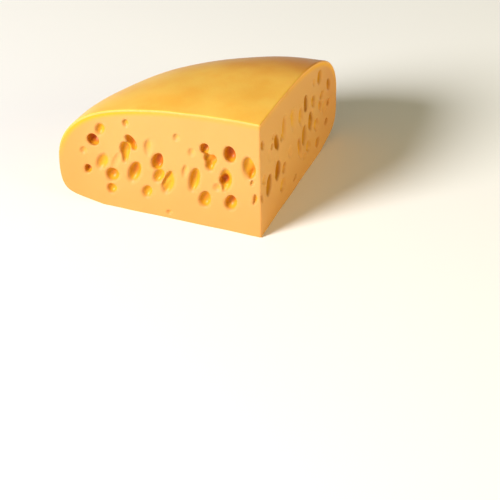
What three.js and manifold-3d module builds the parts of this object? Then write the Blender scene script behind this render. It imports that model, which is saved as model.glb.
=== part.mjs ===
// A quarter of a round, large-holed cheese, standing on its flat underside.
//
// Millimetres, +Z up. The upright edge where the two cuts meet, the tip, faces -Y and the
// rind faces +Y. The origin is at the middle of the wedge's footprint, on its underside.

import * as THREE from "three";
import { mergeVertices } from "three/addons/utils/BufferGeometryUtils.js";
import Module from "manifold-3d";

// The whole cheese that the wedge is cut from.
const CHEESE_RADIUS = 203;
const CHEESE_HEIGHT = 113;
const BELLY_HEIGHT = 39;
const CHEESE_SIDES = 96;

// The crown runs from the belly to the middle of the top, the foot from the belly inwards
// to the edge of the flat underside. Each is one smooth curve, pulled by two points.
const CROWN_STEPS = 14;
const SIDE_PULL = 61;
const SHOULDER_PULL = 126;
const FOOT_STEPS = 7;
const FOOT_PULL = 38;
const HEEL_RADIUS = 193;
const HEEL_HEIGHT = 7;
const UNDERSIDE_RADIUS = 162;

// The two cuts. They meet a little short of the cheese's middle.
const WEDGE_ANGLE = Math.PI / 2;
const TIP_OFF_CENTRE = 20;

// Each eye is a gas bubble that a cut has opened: how far it is along the cut from the tip,
// its height, the width and height of its opening, how far its top leans towards the tip
// in degrees, and its depth.
const LEFT_EYES = [
  [163.5, 52.3, 6.5, 8, 20, 2],
  [160.5, 34, 4.8, 6.5, 20, 6.5],
  [154.2, 65, 8.6, 10, 10, 9],
  [147, 77, 9.5, 12, 15, 3.5],
  [146.5, 45, 11.5, 19.5, 25, 4],
  [138.8, 18.8, 8, 9.5, 10, 5],
  [137.5, 33.5, 12, 13, 20, 6],
  [133.5, 48, 7, 17, 25, 1.5],
  [125, 58, 7, 20, 0, 4.5],
  [124.3, 62, 9, 12.5, 0, 6],
  [122.7, 88.3, 6, 7.5, 10, 2.8],
  [118.5, 69.5, 7.5, 14, -30, 7],
  [116.5, 40.5, 11.5, 22.5, 18, 6.5],
  [105, 23, 9, 13.5, 15, 5],
  [102.5, 69, 7.5, 18, 8, 2.2],
  [94.5, 56, 9.5, 16.5, 20, 8],
  [93.5, 42, 8.5, 16, 25, 5],
  [84, 37.5, 11.5, 26, 18, 4],
  [86.5, 40, 4.5, 20, 25, 4.8],
  [85, 6.7, 5.5, 4.5, 0, 2],
  [76, 84.2, 6, 7.5, 10, 1.8],
  [69, 52.5, 5, 14, 12, 1.8],
  [62.5, 72.5, 6.5, 9, 0, 1.8],
  [60.8, 45, 10, 24, 12, 5.5],
  [51.3, 27.3, 10.5, 15.5, 12, 6],
  [50.8, 78.8, 6, 7.5, 8, 7.5],
  [48, 70, 5.5, 7, 0, 5.5],
  [45.8, 63.5, 8, 13, 8, 5],
  [43.4, 69.5, 5.5, 6.5, 0, 7],
  [40, 42, 8, 9, 15, 2.4],
  [33.7, 50, 5, 6.5, 0, 8],
  [33, 43.5, 4.5, 8, 15, 3.5],
  [31.5, 52.5, 10.5, 22, 8, 5],
  [28, 77.8, 9.8, 15.5, -5, 9],
  [27.5, 29.3, 10.5, 15.5, 8, 7],
  [10.8, 68, 11, 22, 5, 5],
  [8.5, 64.5, 5, 13, 8, 6.5],
  [7.7, 54, 3, 6.5, 15, 2],
  [5.4, 37.5, 3.6, 11, 8, 3],
];
const RIGHT_EYES = [
  [3.4, 38.5, 3.6, 10, 12, 3],
  [6.2, 89.7, 6, 11, 30, 4],
  [9.8, 54, 9.5, 11, 35, 3],
  [21.3, 41, 12, 19, -12, 9],
  [21.8, 70, 9, 13, 30, 1.5],
  [27.3, 76, 5, 6, 0, 2.5],
  [30.3, 84, 6, 7.5, 20, 2],
  [36.8, 57, 7, 9, 0, 1.2],
  [39.1, 73, 9.5, 19, 28, 8],
  [42.1, 43.8, 11, 18, 0, 9],
  [50.8, 71.5, 6, 8, 15, 3.5],
  [52.8, 22.3, 12, 13, 0, 3.5],
  [56.3, 38, 8.5, 10.5, 10, 4.5],
  [56.8, 77, 11, 24, 0, 5],
  [70.3, 45, 9, 12, 10, 1.5],
  [75.3, 80.5, 9, 7.5, 20, 4],
  [79.8, 71, 13, 24, 15, 3],
  [82.6, 11.3, 8, 4.5, 20, 3],
  [93.8, 35.5, 9, 23, 15, 4.5],
  [97.3, 65.5, 11, 20, 10, 3.8],
  [105.5, 42.3, 12.5, 19, -5, 8],
  [106.3, 20, 9, 7, 0, 2],
  [110, 71.5, 9.5, 16, 10, 9],
  [115.6, 24.3, 9.5, 15, 20, 4],
  [121.8, 47, 9.5, 18.5, 8, 8],
  [128.3, 63.2, 8.5, 14, 35, 5],
  [129.8, 82, 6, 7.5, 10, 2],
  [135.8, 35.5, 10, 14, 25, 3.5],
  [138.3, 15.3, 9, 9, 0, 4],
  [144.6, 79, 10, 11.5, 10, 6],
  [145.3, 48.5, 8, 14, 25, 4],
  [149.3, 58.5, 10, 7, 0, 3.5],
  [156.3, 43, 13, 14, 20, 1.8],
  [160.3, 24.3, 7, 6, 0, 4],
  [166.6, 41, 6.5, 5.5, 20, 4],
  [166.8, 59.5, 6.5, 12.5, 25, 6],
];
const EYE_RINGS = 4;
const EYE_SIDES = 12;
const SMALL_EYE = 7;
const SMALL_EYE_SIDES = 8;

// How far the cutting shapes reach past what they cut.
const CLEARANCE = 0.5;

const HALF_ANGLE = WEDGE_ANGLE / 2;
const TIP_Y = -(CHEESE_RADIUS - TIP_OFF_CENTRE) / 2;
const CHEESE_AXIS_Y = TIP_Y - TIP_OFF_CENTRE;

const manifold = await Module();
manifold.setup();

// The same surface with each corner shared by the faces around it, and no flat faces at the
// poles of a turned shape.
function sewn(geometry) {
  const bare = new THREE.BufferGeometry();
  bare.setAttribute("position", geometry.getAttribute("position"));
  bare.setIndex(geometry.getIndex());
  const merged = mergeVertices(bare);
  const corners = merged.getIndex().array;
  const faces = [];
  for (let i = 0; i < corners.length; i += 3) {
    const [a, b, c] = corners.slice(i, i + 3);
    if (a !== b && b !== c && c !== a) faces.push(a, b, c);
  }
  merged.setIndex(faces);
  return merged;
}

function toSolid(geometry) {
  return new manifold.Manifold(
    new manifold.Mesh({
      numProp: 3,
      vertProperties: geometry.getAttribute("position").array,
      triVerts: Uint32Array.from(geometry.getIndex().array),
    }),
  );
}

function toGeometry(solid) {
  const mesh = solid.getMesh();
  const geometry = new THREE.BufferGeometry();
  geometry.setAttribute("position", new THREE.BufferAttribute(mesh.vertProperties, 3));
  geometry.setIndex(new THREE.BufferAttribute(mesh.triVerts, 1));
  geometry.computeVertexNormals();
  return geometry;
}

// The cheese's outline from the middle of the underside, out, up and over to the middle of
// the top.
function cheeseOutline() {
  const belly = new THREE.Vector2(CHEESE_RADIUS, BELLY_HEIGHT);
  const foot = new THREE.CubicBezierCurve(
    new THREE.Vector2(UNDERSIDE_RADIUS, 0),
    new THREE.Vector2(HEEL_RADIUS, HEEL_HEIGHT),
    new THREE.Vector2(CHEESE_RADIUS, BELLY_HEIGHT - FOOT_PULL),
    belly,
  );
  const crown = new THREE.CubicBezierCurve(
    belly,
    new THREE.Vector2(CHEESE_RADIUS, BELLY_HEIGHT + SIDE_PULL),
    new THREE.Vector2(SHOULDER_PULL, CHEESE_HEIGHT),
    new THREE.Vector2(0, CHEESE_HEIGHT),
  );
  const underside = new THREE.Vector2(0, 0);
  return [underside, ...foot.getPoints(FOOT_STEPS), ...crown.getPoints(CROWN_STEPS).slice(1)];
}

function wholeCheese() {
  const cheese = sewn(new THREE.LatheGeometry(cheeseOutline(), CHEESE_SIDES));
  cheese.rotateX(Math.PI / 2);
  cheese.translate(0, CHEESE_AXIS_Y, 0);
  return toSolid(cheese);
}

// Everything between the two cuts, taller and longer than the cheese.
function betweenCuts() {
  const reach = CHEESE_RADIUS + CLEARANCE;
  const spread = reach * Math.tan(HALF_ANGLE);
  const plan = new THREE.Shape([
    new THREE.Vector2(0, TIP_Y),
    new THREE.Vector2(spread, TIP_Y + reach),
    new THREE.Vector2(-spread, TIP_Y + reach),
  ]);
  const height = CHEESE_HEIGHT + 2 * CLEARANCE;
  const block = sewn(new THREE.ExtrudeGeometry(plan, { depth: height, bevelEnabled: false }));
  block.translate(0, 0, -CLEARANCE);
  return toSolid(block);
}

// A bubble's wall is part of a ball that is stretched to the opening. A bubble shallower
// than the opening's half width is a dish, and a deeper one widens behind its opening.
function bubble(wide, tall, deep) {
  const opening = Math.sqrt(wide * tall) / 2;
  const ball = (opening ** 2 + deep ** 2) / (2 * deep);
  const turn = Math.acos((ball - deep - CLEARANCE) / ball);
  const wall = [];
  for (let i = 0; i <= EYE_RINGS; i += 1) {
    const angle = (turn * i) / EYE_RINGS;
    wall.push(new THREE.Vector2(ball * Math.sin(angle), ball - deep - ball * Math.cos(angle)));
  }
  wall.push(new THREE.Vector2(0, CLEARANCE));
  const sides = wide < SMALL_EYE ? SMALL_EYE_SIDES : EYE_SIDES;
  const hollow = sewn(new THREE.LatheGeometry(wall, sides));
  hollow.rotateX(Math.PI / 2);
  hollow.scale(wide / 2 / opening, tall / 2 / opening, 1);
  return hollow;
}

// Sets a bubble into one of the cuts: side is -1 for the left one and 1 for the right one.
function setIntoCut(hollow, side, along, up, lean) {
  const acrossCut = new THREE.Vector3(Math.sin(HALF_ANGLE), side * Math.cos(HALF_ANGLE), 0);
  const outOfCut = new THREE.Vector3(side * Math.cos(HALF_ANGLE), -Math.sin(HALF_ANGLE), 0);
  const upwards = new THREE.Vector3(0, 0, 1);
  hollow.rotateZ(side * THREE.MathUtils.degToRad(lean));
  hollow.translate(side * along, up, 0);
  hollow.applyMatrix4(new THREE.Matrix4().makeBasis(acrossCut, upwards, outOfCut));
  hollow.translate(0, TIP_Y, 0);
}

function cutEyes(solid, eyes, side) {
  return eyes.reduce((left, [along, up, wide, tall, lean, deep]) => {
    const hollow = bubble(wide, tall, deep);
    setIntoCut(hollow, side, along, up, lean);
    return left.subtract(toSolid(hollow));
  }, solid);
}

function cheeseWedge() {
  const plainWedge = wholeCheese().intersect(betweenCuts());
  const wedge = cutEyes(cutEyes(plainWedge, LEFT_EYES, -1), RIGHT_EYES, 1);
  const cheese = new THREE.MeshStandardMaterial({
    color: 0xf3bd5d,
    roughness: 0.5,
    metalness: 0,
  });
  const mesh = new THREE.Mesh(toGeometry(wedge), cheese);
  mesh.name = "cheese_wedge";
  return mesh;
}

const part = new THREE.Group();
part.add(cheeseWedge());

export default part;
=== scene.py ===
import itertools
import math

import bpy
import numpy as np
import openvdb
from mathutils import Matrix, Vector


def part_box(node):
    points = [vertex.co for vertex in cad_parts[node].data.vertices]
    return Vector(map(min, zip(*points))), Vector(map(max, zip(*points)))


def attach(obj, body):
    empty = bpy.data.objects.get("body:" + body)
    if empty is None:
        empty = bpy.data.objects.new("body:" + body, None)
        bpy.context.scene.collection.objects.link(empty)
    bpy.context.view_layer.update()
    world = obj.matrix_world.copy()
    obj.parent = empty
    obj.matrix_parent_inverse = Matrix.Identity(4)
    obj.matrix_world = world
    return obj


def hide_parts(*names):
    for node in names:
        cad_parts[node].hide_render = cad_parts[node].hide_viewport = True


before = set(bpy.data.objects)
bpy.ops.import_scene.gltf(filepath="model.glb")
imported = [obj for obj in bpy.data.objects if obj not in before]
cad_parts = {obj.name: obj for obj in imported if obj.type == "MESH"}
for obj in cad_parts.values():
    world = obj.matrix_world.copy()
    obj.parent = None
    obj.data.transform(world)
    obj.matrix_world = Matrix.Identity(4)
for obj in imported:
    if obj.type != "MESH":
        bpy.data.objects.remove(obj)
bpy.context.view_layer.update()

MM = 0.001

# The whole cheese that the wedge is cut from, in millimetres: its outline runs from the flat
# underside round the foot to the belly, and over the crown to the middle of the top.
CHEESE_RADIUS = 203
CHEESE_HEIGHT = 113
BELLY_HEIGHT = 39
CROWN_STEPS = 240
SIDE_PULL = 61
SHOULDER_PULL = 126
FOOT_STEPS = 60
FOOT_PULL = 38
HEEL_RADIUS = 193
HEEL_HEIGHT = 7
UNDERSIDE_RADIUS = 162

# The two cuts. They meet a little short of the cheese's middle.
HALF_ANGLE = math.radians(45)
TIP_OFF_CENTRE = 20
TIP_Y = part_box("cheese_wedge")[0][1] / MM

# The eyes that each cut has opened: how far along the cut from the tip, how high, the
# opening's width and height, its lean towards the tip in degrees, and its depth.
LEFT_EYES = [
    (163.5, 52.3, 6.5, 8, 20, 2),
    (160.5, 34, 4.8, 6.5, 20, 6.5),
    (154.2, 65, 8.6, 10, 10, 9),
    (147, 77, 9.5, 12, 15, 3.5),
    (146.5, 45, 11.5, 19.5, 25, 4),
    (138.8, 18.8, 8, 9.5, 10, 5),
    (137.5, 33.5, 12, 13, 20, 6),
    (133.5, 48, 7, 17, 25, 1.5),
    (125, 58, 7, 20, 0, 4.5),
    (124.3, 62, 9, 12.5, 0, 6),
    (122.7, 88.3, 6, 7.5, 10, 2.8),
    (118.5, 69.5, 7.5, 14, -30, 7),
    (116.5, 40.5, 11.5, 22.5, 18, 6.5),
    (105, 23, 9, 13.5, 15, 5),
    (102.5, 69, 7.5, 18, 8, 2.2),
    (94.5, 56, 9.5, 16.5, 20, 8),
    (93.5, 42, 8.5, 16, 25, 5),
    (84, 37.5, 11.5, 26, 18, 4),
    (86.5, 40, 4.5, 20, 25, 4.8),
    (85, 6.7, 5.5, 4.5, 0, 2),
    (76, 84.2, 6, 7.5, 10, 1.8),
    (69, 52.5, 5, 14, 12, 1.8),
    (62.5, 72.5, 6.5, 9, 0, 1.8),
    (60.8, 45, 10, 24, 12, 5.5),
    (51.3, 27.3, 10.5, 15.5, 12, 6),
    (50.8, 78.8, 6, 7.5, 8, 7.5),
    (48, 70, 5.5, 7, 0, 5.5),
    (45.8, 63.5, 8, 13, 8, 5),
    (43.4, 69.5, 5.5, 6.5, 0, 7),
    (40, 42, 8, 9, 15, 2.4),
    (33.7, 50, 5, 6.5, 0, 8),
    (33, 43.5, 4.5, 8, 15, 3.5),
    (31.5, 52.5, 10.5, 22, 8, 5),
    (28, 77.8, 9.8, 15.5, -5, 9),
    (27.5, 29.3, 10.5, 15.5, 8, 7),
    (10.8, 68, 11, 22, 5, 5),
    (8.5, 64.5, 5, 13, 8, 6.5),
    (7.7, 54, 3, 6.5, 15, 2),
    (5.4, 37.5, 3.6, 11, 8, 3),
]
RIGHT_EYES = [
    (3.4, 38.5, 3.6, 10, 12, 3),
    (6.2, 89.7, 6, 11, 30, 4),
    (9.8, 54, 9.5, 11, 35, 3),
    (21.3, 41, 12, 19, -12, 9),
    (21.8, 70, 9, 13, 30, 1.5),
    (27.3, 76, 5, 6, 0, 2.5),
    (30.3, 84, 6, 7.5, 20, 2),
    (36.8, 57, 7, 9, 0, 1.2),
    (39.1, 73, 9.5, 19, 28, 8),
    (42.1, 43.8, 11, 18, 0, 9),
    (50.8, 71.5, 6, 8, 15, 3.5),
    (52.8, 22.3, 12, 13, 0, 3.5),
    (56.3, 38, 8.5, 10.5, 10, 4.5),
    (56.8, 77, 11, 24, 0, 5),
    (70.3, 45, 9, 12, 10, 1.5),
    (75.3, 80.5, 9, 7.5, 20, 4),
    (79.8, 71, 13, 24, 15, 3),
    (82.6, 11.3, 8, 4.5, 20, 3),
    (93.8, 35.5, 9, 23, 15, 4.5),
    (97.3, 65.5, 11, 20, 10, 3.8),
    (105.5, 42.3, 12.5, 19, -5, 8),
    (106.3, 20, 9, 7, 0, 2),
    (110, 71.5, 9.5, 16, 10, 9),
    (115.6, 24.3, 9.5, 15, 20, 4),
    (121.8, 47, 9.5, 18.5, 8, 8),
    (128.3, 63.2, 8.5, 14, 35, 5),
    (129.8, 82, 6, 7.5, 10, 2),
    (135.8, 35.5, 10, 14, 25, 3.5),
    (138.3, 15.3, 9, 9, 0, 4),
    (144.6, 79, 10, 11.5, 10, 6),
    (145.3, 48.5, 8, 14, 25, 4),
    (149.3, 58.5, 10, 7, 0, 3.5),
    (156.3, 43, 13, 14, 20, 1.8),
    (160.3, 24.3, 7, 6, 0, 4),
    (166.6, 41, 6.5, 5.5, 20, 4),
    (166.8, 59.5, 6.5, 12.5, 25, 6),
]

# How finely the surface is worked, and how far from it the field is kept.
GRAIN = 0.7
RING = 0.7
BAND = 3
MARGIN = 4 * GRAIN
FLATNESS = 0.004
SETTLING = 2

# Soft edges, and the slow swells that a knife and a hand-turned rind leave.
EDGE_ROUND = 1.1
KNIFE_SWELL = 0.22
KNIFE_LENGTH = 42
LEFT_SEED = 3
RIGHT_SEED = 4
RIND_SWELL = 0.35
RIND_LENGTH = 75
RIND_SEED = 5

# A swell is the sum of a few waves of about its length, over the height that they mostly
# reach together.
SWELL_WAVES = 7
SWELL_SPREAD = (0.7, 1.4)
SWELL_PEAK = 3

# No eye is a true ball: its wall wanders by a share of the opening's half width, in swells
# that are a few half widths long. Its rim is soft, and a shallow eye's rim less so.
EYE_WANDER = 0.09
EYE_WANDER_MOST = 1.0
EYE_SWELL_LENGTH = 3.2
EYE_SEEDS = (11, 12, 13)
EYE_MARGIN = 4
RIM_ROUND = 2.2
RIM_SHARE = 0.35

# Keeps a slope of nought out of a division.
TINY = 1e-6

# Colours, in linear light.
HEART_PASTE = (0.63, 0.315, 0.09, 1)
OUTER_PASTE = (0.62, 0.265, 0.062, 1)
WARM_PASTE = (0.62, 0.288, 0.062, 1)
RIND_BAND = (0.76, 0.35, 0.004, 1)
# The pale line along the upper cut edges is a painted highlight.
PAINTED_EDGE_HIGHLIGHT = (0.8, 0.38, 0.09, 1)
# Inside the eyes: painted shade, orange where shallow and darker red deep down.
SHALLOW_EYE_SHADE = (0.66, 0.31, 0.014, 1)
DEEP_EYE_SHADE = (0.52, 0.12, 0.008, 1)
PALE_RIND = (0.97, 0.57, 0.095, 1)
DARK_RIND = (0.95, 0.48, 0.06, 1)
# The rind's brown towards one side is painted shade.
PAINTED_SHADE_RIND = (0.74, 0.28, 0.025, 1)
FLOOR_WHITE = (0.95, 0.945, 0.935, 1)

# Directions in the part: straight up, and to the side where the rind is darkened with painted
# shade.
UPWARDS = (0, 0, 1)
PAINTED_SHADE_SIDE = (0.8, 0.6, 0)

# Each finish sets in between two places, nought at the first and full at the second. These
# are in millimetres: from the whole cheese's middle, in from its outside or in from a cut.
# A waver is how far mottling moves such a place.
HEART_REACH = (212, 150)
HEART_WAVER = 20
BAND_REACH = (60, 160)
BAND_DEPTH = (7, 2)
# How far in from the rind the cut edges' painted highlight reaches.
PAINTED_HIGHLIGHT_DEPTH = (2.2, 1.2)
SKIN_DEPTH = (0.5, 0.2)
# The eyes' painted shade sets in between these depths in from the cut.
SHALLOW_SHADE_DEPTH = (0.8, 3.4)
DEEP_SHADE_DEPTH = (4.8, 9)
DEEP_SHADE_WAVER = 2
EYE_WALL_DEPTH = (1, 3)

# These are in metres: above the underside, and towards the side with painted shade.
HEART_HEIGHT = (0, 0.07)
BAND_HEIGHT = (0.035, 0.08)
# Where the rind's painted shade sets in, towards its side.
PAINTED_SHADE_REACH = (0.015, 0.1)
PAINTED_SHADE_WAVER = 0.03

# The least of the heart's colour low down, of the band near the middle, and the most that a
# blotch warms the paste.
HEART_LEAST = 0.35
BAND_LEAST = 0.3
BLOTCH_MOST = 0.25

# How large the unevenness is, in metres, from the rind's mottling down to the paste's grain.
MOTTLE_SIZE = 0.035
MOTTLE_RANGE = (0.3, 0.75)
BLOTCH_SIZE = 0.012
PORE_SIZE = 0.0035
PORE_SHARE = 0.65
GRAIN_SIZE = 0.0011
SURFACE_RELIEF = 0.00012

# The paste is the dullest. The skin and the wet walls of the eyes are glossier.
PASTE_ROUGHNESS = 0.46
GRAIN_ROUGHNESS = 0.1
SKIN_GLOSS = 0.06
EYE_WALL_GLOSS = 0.12
FLOOR_ROUGHNESS = 0.7

# The studio, in metres, degrees and watts.
FLOOR_SIZE = 24
ROOM_COLOUR = (1.0, 0.93, 0.82, 1)
ROOM_STRENGTH = 0.17
KEY = {"azimuth": -78, "elevation": 29.5, "distance": 3.0, "size": 1.2, "power": 153}
KEY_COLOUR = (1.0, 0.98, 0.95)
FILL = {"azimuth": 42, "elevation": 14, "distance": 2.0, "size": 1.2, "power": 24.5}
FILL_COLOUR = (1.0, 0.92, 0.45)

# The view: the camera looks at a spot on the floor a little left of and before the tip.
VIEW_AZIMUTH = -23.06
VIEW_ELEVATION = 34.68
VIEW_ROLL = math.radians(0.77)
VIEW_DISTANCE = 2.0735
AIM_LEFT = 0.0157
AIM_BEFORE = 0.0122
SENSOR_WIDTH = 36
FOCAL_LENGTH = 176.36
FAR_END = 50

# The field is worked out in the cuts' own frame: x runs along the right cut and y along the
# left one, both from the tip, so that each cut lies square to the grid. The whole cheese's
# middle is then as far along x as along y.
AXIS = -TIP_OFF_CENTRE / math.sqrt(2)


def bezier(points, steps):
    """Points along the smooth curve that four points pull."""
    t = np.linspace(0, 1, steps)[:, None]
    a, b, c, d = (np.array(point, float) for point in points)
    return (1 - t) ** 3 * a + 3 * t * (1 - t) ** 2 * b + 3 * t**2 * (1 - t) * c + t**3 * d


def cheese_outline():
    """Radius and height along the cheese's outline, whole and as its foot and its crown."""
    belly = (CHEESE_RADIUS, BELLY_HEIGHT)
    under_belly = (CHEESE_RADIUS, BELLY_HEIGHT - FOOT_PULL)
    over_belly = (CHEESE_RADIUS, BELLY_HEIGHT + SIDE_PULL)
    foot_pulls = [(UNDERSIDE_RADIUS, 0), (HEEL_RADIUS, HEEL_HEIGHT), under_belly, belly]
    crown_pulls = [belly, over_belly, (SHOULDER_PULL, CHEESE_HEIGHT), (0, CHEESE_HEIGHT)]
    foot = bezier(foot_pulls, FOOT_STEPS)
    crown = bezier(crown_pulls, CROWN_STEPS)
    return np.vstack([[0, 0], foot, crown[1:]]), foot, crown


def outline_distances(radii, heights):
    """How far each radius and height is outside the whole cheese's outline."""
    outline, foot, crown = cheese_outline()
    low = np.interp(radii, foot[:, 0], foot[:, 1])
    high = np.interp(radii, crown[::-1, 0], crown[::-1, 1])
    start = outline[:-1]
    along = np.diff(outline, axis=0)
    length = np.linalg.norm(along, axis=1)
    up = heights[:, None] - start[:, 1]
    table = np.empty((len(radii), len(heights)), np.float32)
    for i, radius in enumerate(radii):
        out = np.broadcast_to(radius - start[:, 0], up.shape)
        offset = np.stack([out, up], axis=-1)
        part = np.clip((offset * along).sum(axis=-1) / length**2, 0, 1)
        gap = np.linalg.norm(offset - part[..., None] * along, axis=-1).min(axis=1)
        inside = (radius < CHEESE_RADIUS) & (heights > low[i]) & (heights < high[i])
        table[i] = np.where(inside, -gap, gap)
    return table


def rounded(parts, radius):
    """Where all of the parts overlap, with the edges between them rounded."""
    deepest = parts[0]
    corner = np.maximum(parts[0] + radius, 0) ** 2
    for part in parts[1:]:
        deepest = np.maximum(deepest, part)
        corner = corner + np.maximum(part + radius, 0) ** 2
    return np.minimum(deepest, -radius) + np.sqrt(corner)


def ripple(points, length, seed):
    """Smooth swells about `length` from one to the next, mostly between -1 and 1."""
    rng = np.random.default_rng(seed)
    total = np.zeros(points.shape[:-1], np.float32)
    for _ in range(SWELL_WAVES):
        wave = rng.normal(size=3)
        wave *= 2 * math.pi / length / np.linalg.norm(wave) * rng.uniform(*SWELL_SPREAD)
        total += np.sin(points @ wave.astype(np.float32) + rng.uniform(0, 2 * math.pi))
    return total / SWELL_PEAK


class Block:
    """A box of evenly spaced points round the wedge, GRAIN apart."""

    def __init__(self, low, high):
        self.low = np.array(low, float)
        count = np.ceil((np.array(high) - self.low) / GRAIN).astype(int) + 1
        self.lines = [self.low[i] + GRAIN * np.arange(count[i]) for i in range(3)]

    def points(self, window):
        """Where the block's own points lie in a window."""
        lines = (line[part] for line, part in zip(self.lines, window))
        return np.stack(np.meshgrid(*lines, indexing="ij"), axis=-1).astype(np.float32)

    def window(self, centre, reach):
        """The window that takes in everything within reach of a centre."""
        first = np.floor((centre - reach - self.low) / GRAIN).astype(int)
        last = np.ceil((centre + reach - self.low) / GRAIN).astype(int) + 1
        return tuple(slice(max(0, a), max(0, b)) for a, b in zip(first, last))

    def sheet(self, across):
        """The window onto one sheet of points, square to x, y or z."""
        return tuple(slice(0, 1) if i == across else slice(None) for i in range(3))

    def between(self, field, points):
        """The field at points that lie between the block's own."""
        place = (points - self.low) / GRAIN
        corner = np.floor(place).astype(int)
        part = place - corner
        total = np.zeros(len(points))
        for shift in itertools.product((0, 1), repeat=3):
            i, j, k = (corner + shift).T
            total += field[i, j, k] * np.where(shift, part, 1 - part).prod(axis=1)
        return total


def rind_distances(block):
    """How far each of the block's points is outside the whole cheese."""
    x, y, z = block.lines
    radius = np.hypot(x[:, None] - AXIS, y[None, :] - AXIS)
    table = outline_distances(np.arange(0, radius.max() + 2 * RING, RING), z)
    ring = np.floor(radius / RING).astype(int)
    part = (radius / RING - ring).astype(np.float32)[:, :, None]
    return table[ring] * (1 - part) + table[ring + 1] * part


def wandered(points, opening):
    """The points, pushed about a little so that a ball between them comes out uneven."""
    wander = min(EYE_WANDER_MOST, EYE_WANDER * opening)
    swells = [ripple(points, EYE_SWELL_LENGTH * opening, seed) for seed in EYE_SEEDS]
    return points + wander * np.stack(swells, axis=-1)


def outside_ball(offset, size, ball):
    """Nearly how far each offset is outside a ball that is stretched to that size."""
    scaled = offset / size / ball
    reach = np.linalg.norm(scaled, axis=-1)
    steep = np.linalg.norm(scaled / size, axis=-1) / ball
    return reach * (reach - 1) / np.maximum(steep, TINY)


def carve_eye(block, field, side, eye):
    """Hollows an eye out of the left cut, side 0, or of the right cut, side 1."""
    along, up, wide, tall, lean, deep = eye
    opening = math.sqrt(wide * tall) / 2
    ball = (opening**2 + deep**2) / (2 * deep)
    size = np.array([wide / 2 / opening, tall / 2 / opening, 1], np.float32)
    mouth = np.array([along, 0, up] if side else [0, along, up], float)
    inwards = np.array([0, 1, 0] if side else [1, 0, 0], float)
    reach = max(wide, tall, deep) / 2 + EYE_MARGIN
    window = block.window(mouth + inwards * deep / 2, reach)
    local = wandered(block.points(window), opening) - mouth.astype(np.float32)
    across, inside, above = local[..., 1 - side], local[..., side], local[..., 2]
    sine, cosine = math.sin(math.radians(lean)), math.cos(math.radians(lean))
    u = across * cosine + above * sine
    v = above * cosine - across * sine
    outside = outside_ball(np.stack([u, v, inside + ball - deep], axis=-1), size, ball)
    rim = min(RIM_ROUND, RIM_SHARE * deep)
    field[window] = rounded([field[window], -outside], rim)


def wedge_field():
    """How far each of a block's points is outside the wedge, and outside the whole cheese."""
    reach = math.sqrt(CHEESE_RADIUS**2 - AXIS**2) + AXIS
    block = Block([-MARGIN] * 3, [reach + MARGIN, reach + MARGIN, CHEESE_HEIGHT + MARGIN])
    x, y, z = (line.astype(np.float32) for line in block.lines)
    across_x, across_y, across_z = (block.points(block.sheet(i)) for i in range(3))
    left_cut = KNIFE_SWELL * ripple(across_x, KNIFE_LENGTH, LEFT_SEED) - x[:, None, None]
    right_cut = KNIFE_SWELL * ripple(across_y, KNIFE_LENGTH, RIGHT_SEED) - y[None, :, None]
    swell = RIND_SWELL * ripple(across_z, RIND_LENGTH, RIND_SEED)
    rind = rind_distances(block) + swell * np.clip(z / BELLY_HEIGHT, 0, 1)
    field = rounded([rind, left_cut, right_cut], EDGE_ROUND)
    for side, eyes in enumerate((LEFT_EYES, RIGHT_EYES)):
        for eye in eyes:
            carve_eye(block, field, side, eye)
    return block, field, rind


def facing(block, field, points):
    """Which way the surface faces at each of its points."""
    slopes = [
        block.between(field, points + step) - block.between(field, points - step)
        for step in GRAIN * np.eye(3)
    ]
    normals = np.column_stack(slopes)
    return normals / np.linalg.norm(normals, axis=1)[:, None]


def surface_of(block, field):
    """The points and faces where the field is nought, with larger faces where it is flat."""
    grid = openvdb.FloatGrid(float(BAND))
    grid.copyFromArray(np.clip(field / GRAIN, -BAND, BAND).astype(np.float32))
    points, triangles, quads = grid.convertToPolygons(isovalue=0.0, adaptivity=FLATNESS)
    points = points * GRAIN + block.low
    for _ in range(SETTLING):
        points -= block.between(field, points)[:, None] * facing(block, field, points)
    return points, triangles, quads


def turned(points):
    """From the cuts' directions to the part's."""
    x, y, z = points.T
    sine, cosine = math.sin(HALF_ANGLE), math.cos(HALF_ANGLE)
    return np.column_stack([(x - y) * sine, (x + y) * cosine, z])


def mesh_from(points, triangles, quads, name):
    """A smooth mesh of those faces, in metres."""
    mesh = bpy.data.meshes.new(name)
    corners = np.concatenate([triangles.ravel(), quads.ravel()]).astype(np.int32)
    sizes = np.repeat([3, 4], [len(triangles), len(quads)]).astype(np.int32)
    starts = (np.cumsum(sizes) - sizes).astype(np.int32)
    mesh.vertices.add(len(points))
    mesh.vertices.foreach_set("co", (points * MM).astype(np.float32).ravel())
    mesh.loops.add(len(corners))
    mesh.loops.foreach_set("vertex_index", corners)
    mesh.polygons.add(len(sizes))
    mesh.polygons.foreach_set("loop_start", starts)
    mesh.polygons.foreach_set("use_smooth", np.ones(len(sizes), bool))
    mesh.update(calc_edges=True)
    mesh.validate()
    return mesh


def note(mesh, name, values):
    """Keeps one number for each point of the mesh, for its finish to read."""
    layer = mesh.attributes.new(name, "FLOAT", "POINT")
    layer.data.foreach_set("value", values.astype(np.float32))


def cheese_wedge():
    """The wedge, with what its finish needs to know noted on it in millimetres."""
    block, field, rind = wedge_field()
    points, triangles, quads = surface_of(block, field)
    mesh = mesh_from(turned(points) + [0, TIP_Y, 0], triangles, quads, "cheese")
    mesh.normals_split_custom_set_from_vertices(turned(facing(block, field, points)))
    note(mesh, "below_rind", -block.between(rind, points))
    note(mesh, "below_cut", np.minimum(points[:, 0], points[:, 1]))
    note(mesh, "from_middle", np.hypot(points[:, 0] - AXIS, points[:, 1] - AXIS))
    piece = bpy.data.objects.new("cheese", mesh)
    bpy.context.collection.objects.link(piece)
    return piece


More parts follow.
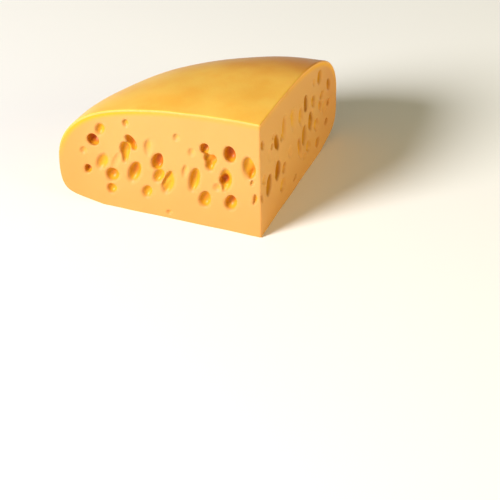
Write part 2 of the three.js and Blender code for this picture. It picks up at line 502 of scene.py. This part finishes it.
class Value:
    """A number that varies over the surface."""

    def __init__(self, finish, socket):
        self.finish = finish
        self.socket = socket

    def math(self, operation, first, second):
        node = self.finish.node("ShaderNodeMath", {"operation": operation}, {0: first, 1: second})
        return Value(self.finish, node.outputs[0])

    def __add__(self, other):
        return self.math("ADD", self, other)

    def __sub__(self, other):
        return self.math("SUBTRACT", self, other)

    def __rsub__(self, other):
        return self.math("SUBTRACT", other, self)

    def __mul__(self, other):
        return self.math("MULTIPLY", self, other)

    __radd__ = __add__
    __rmul__ = __mul__


class Finish:
    """A material and the nodes it is made of."""

    def __init__(self, name):
        self.material = bpy.data.materials.new(name)
        self.material.use_nodes = True
        self.tree = self.material.node_tree
        self.tree.nodes.clear()
        self.place = self.node("ShaderNodeTexCoord").outputs["Object"]

    def node(self, kind, settings=None, inputs=None):
        """A new node: its settings come first, then the values or links of its sockets."""
        node = self.tree.nodes.new(kind)
        for name, setting in (settings or {}).items():
            setattr(node, name, setting)
        for key, given in (inputs or {}).items():
            named = (each for each in node.inputs if each.name == key and each.enabled)
            socket = node.inputs[key] if isinstance(key, int) else next(named)
            source = given.socket if isinstance(given, Value) else given
            if isinstance(source, bpy.types.NodeSocket):
                self.tree.links.new(source, socket)
            else:
                socket.default_value = source
        return node

    def noted(self, name):
        """What was noted on the mesh under that name."""
        node = self.node("ShaderNodeAttribute", {"attribute_name": name})
        return Value(self, node.outputs["Fac"])

    def along(self, direction):
        """How far along a direction each place lies, in metres from the part's origin."""
        settings = {"operation": "DOT_PRODUCT"}
        node = self.node("ShaderNodeVectorMath", settings, {0: self.place, 1: direction})
        return Value(self, node.outputs["Value"])

    def step(self, value, low, high):
        """Rises smoothly from 0 at low to 1 at high, of which low may be the larger."""
        settings = {"interpolation_type": "SMOOTHSTEP"}
        inputs = {"Value": value, "From Min": low, "From Max": high}
        return Value(self, self.node("ShaderNodeMapRange", settings, inputs).outputs[0])

    def noise(self, size, detail=2):
        """Soft mottling between 0 and 1, with blotches of about that size in metres."""
        inputs = {"Vector": self.place, "Scale": 1 / size, "Detail": detail}
        return Value(self, self.node("ShaderNodeTexNoise", {}, inputs).outputs["Fac"])

    def blend(self, factor, first, second):
        """The first colour where the factor is 0 and the second where it is 1."""
        inputs = {"Factor": factor, "A": first, "B": second}
        node = self.node("ShaderNodeMix", {"data_type": "RGBA"}, inputs)
        return next(each for each in node.outputs if each.enabled)

    def bump(self, height, depth):
        """Fine relief, at most that many metres deep."""
        inputs = {"Height": height, "Distance": depth}
        return self.node("ShaderNodeBump", {}, inputs).outputs["Normal"]

    def shade(self, inputs):
        """The finished material, with those values and links on its shader."""
        shader = self.node("ShaderNodeBsdfPrincipled", {}, inputs)
        self.node("ShaderNodeOutputMaterial", {}, {"Surface": shader.outputs["BSDF"]})
        return self.material


def at_least(share, value):
    """That share where the value is 0, and 1 where it is 1."""
    return share + (1 - share) * value


def paste_colour(finish, mottle):
    """Pale at the heart, warmer outwards and yellow under the rind, with a painted highlight
    along the upper cut edges; orange inside the eyes and darker red deep down, which is painted
    shade.
    """
    below_rind = finish.noted("below_rind")
    below_cut = finish.noted("below_cut")
    from_middle = finish.noted("from_middle")
    height = finish.along(UPWARDS)
    blotch = finish.noise(BLOTCH_SIZE)
    inner = finish.step(from_middle + HEART_WAVER * mottle, *HEART_REACH)
    heart = inner * at_least(HEART_LEAST, finish.step(height, *HEART_HEIGHT))
    outer = at_least(BAND_LEAST, finish.step(from_middle, *BAND_REACH))
    upper = finish.step(height, *BAND_HEIGHT)
    band = finish.step(below_rind, *BAND_DEPTH) * upper * outer
    # A painted highlight along the upper cut edges.
    rim = finish.step(below_rind, *PAINTED_HIGHLIGHT_DEPTH) * upper
    # Painted shade inside the eyes, orange and then darker red with depth.
    shallow = finish.step(below_cut, *SHALLOW_SHADE_DEPTH)
    deep = finish.step(below_cut + DEEP_SHADE_WAVER * blotch, *DEEP_SHADE_DEPTH)
    paste = finish.blend(heart, OUTER_PASTE, HEART_PASTE)
    paste = finish.blend(BLOTCH_MOST * blotch, paste, WARM_PASTE)
    paste = finish.blend(band, paste, RIND_BAND)
    paste = finish.blend(rim, paste, PAINTED_EDGE_HIGHLIGHT)
    paste = finish.blend(shallow, paste, SHALLOW_EYE_SHADE)
    return finish.blend(deep, paste, DEEP_EYE_SHADE)


def rind_colour(finish, mottle):
    """Mottled yellow, and browner towards one side: painted shade."""
    rind = finish.blend(finish.step(mottle, *MOTTLE_RANGE), PALE_RIND, DARK_RIND)
    # Painted shade: the rind browner towards one side.
    painted_shade = finish.step(finish.along(PAINTED_SHADE_SIDE) + PAINTED_SHADE_WAVER * mottle, *PAINTED_SHADE_REACH)
    return finish.blend(painted_shade, rind, PAINTED_SHADE_RIND)


def cheese_finish():
    """Soft paste where the cheese is cut and a smooth waxy rind outside."""
    finish = Finish("cheese")
    mottle = finish.noise(MOTTLE_SIZE, detail=3)
    grain = finish.noise(GRAIN_SIZE, detail=3)
    pores = finish.noise(PORE_SIZE)
    skin = finish.step(finish.noted("below_rind"), *SKIN_DEPTH)
    eye_wall = finish.step(finish.noted("below_cut"), *EYE_WALL_DEPTH)
    colour = finish.blend(skin, paste_colour(finish, mottle), rind_colour(finish, mottle))
    roughness = PASTE_ROUGHNESS - SKIN_GLOSS * skin - EYE_WALL_GLOSS * eye_wall
    relief = (1 - PORE_SHARE) * grain + PORE_SHARE * pores
    return finish.shade(
        {
            "Base Color": colour,
            "Roughness": roughness + GRAIN_ROUGHNESS * grain,
            "Normal": finish.bump(relief, SURFACE_RELIEF),
            "IOR": 1.45,
            "Specular IOR Level": 0.3,
            "Subsurface Weight": 0.2,
            "Subsurface Radius": (1.0, 0.55, 0.2),
            "Subsurface Scale": 0.0015,
        }
    )


def floor():
    """A plain pale floor that runs far past the view."""
    mesh = bpy.data.meshes.new("floor")
    half = FLOOR_SIZE / 2
    corners = [(-half, -half, 0), (half, -half, 0), (half, half, 0), (-half, half, 0)]
    mesh.from_pydata(corners, [], [(0, 1, 2, 3)])
    finish = Finish("floor")
    mesh.materials.append(finish.shade({"Base Color": FLOOR_WHITE, "Roughness": FLOOR_ROUGHNESS}))
    plane = bpy.data.objects.new("floor", mesh)
    bpy.context.collection.objects.link(plane)
    return plane


def towards(azimuth, elevation):
    """The direction from the wedge to something at that azimuth and elevation, in degrees."""
    a, e = math.radians(azimuth), math.radians(elevation)
    return Vector((math.sin(a) * math.cos(e), -math.cos(a) * math.cos(e), math.sin(e)))


def soft_light(name, colour, azimuth, elevation, distance, size, power):
    """A round soft light that shines at the wedge."""
    light = bpy.data.lights.new(name, "AREA")
    light.shape = "DISK"
    light.size = size
    light.energy = power
    light.color = colour
    lamp = bpy.data.objects.new(name, light)
    direction = towards(azimuth, elevation)
    lamp.location = direction * distance
    lamp.rotation_euler = direction.to_track_quat("Z", "Y").to_euler()
    bpy.context.collection.objects.link(lamp)


def room(colour, strength):
    """An even light from all round."""
    world = bpy.data.worlds.new("studio")
    world.use_nodes = True
    background = world.node_tree.nodes["Background"]
    background.inputs["Color"].default_value = colour
    background.inputs["Strength"].default_value = strength
    bpy.context.scene.world = world


def camera():
    """The camera, rolled a little, looking at its spot on the floor."""
    lens = bpy.data.cameras.new("camera")
    lens.sensor_width = SENSOR_WIDTH
    lens.lens = FOCAL_LENGTH
    lens.clip_end = FAR_END
    view = bpy.data.objects.new("camera", lens)
    back = towards(VIEW_AZIMUTH, VIEW_ELEVATION)
    aim = Vector((-AIM_LEFT, TIP_Y * MM - AIM_BEFORE, 0))
    turn = back.to_track_quat("Z", "Y").to_matrix() @ Matrix.Rotation(-VIEW_ROLL, 3, "Z")
    view.matrix_world = Matrix.LocRotScale(aim + VIEW_DISTANCE * back, turn, None)
    bpy.context.collection.objects.link(view)
    bpy.context.scene.camera = view


cheese = cheese_wedge()
cheese.data.materials.append(cheese_finish())
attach(cheese, "root")
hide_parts("cheese_wedge")

floor()
camera()
room(ROOM_COLOUR, ROOM_STRENGTH)
soft_light("key", KEY_COLOUR, **KEY)
soft_light("fill", FILL_COLOUR, **FILL)
bpy.context.scene.view_settings.view_transform = "Standard"
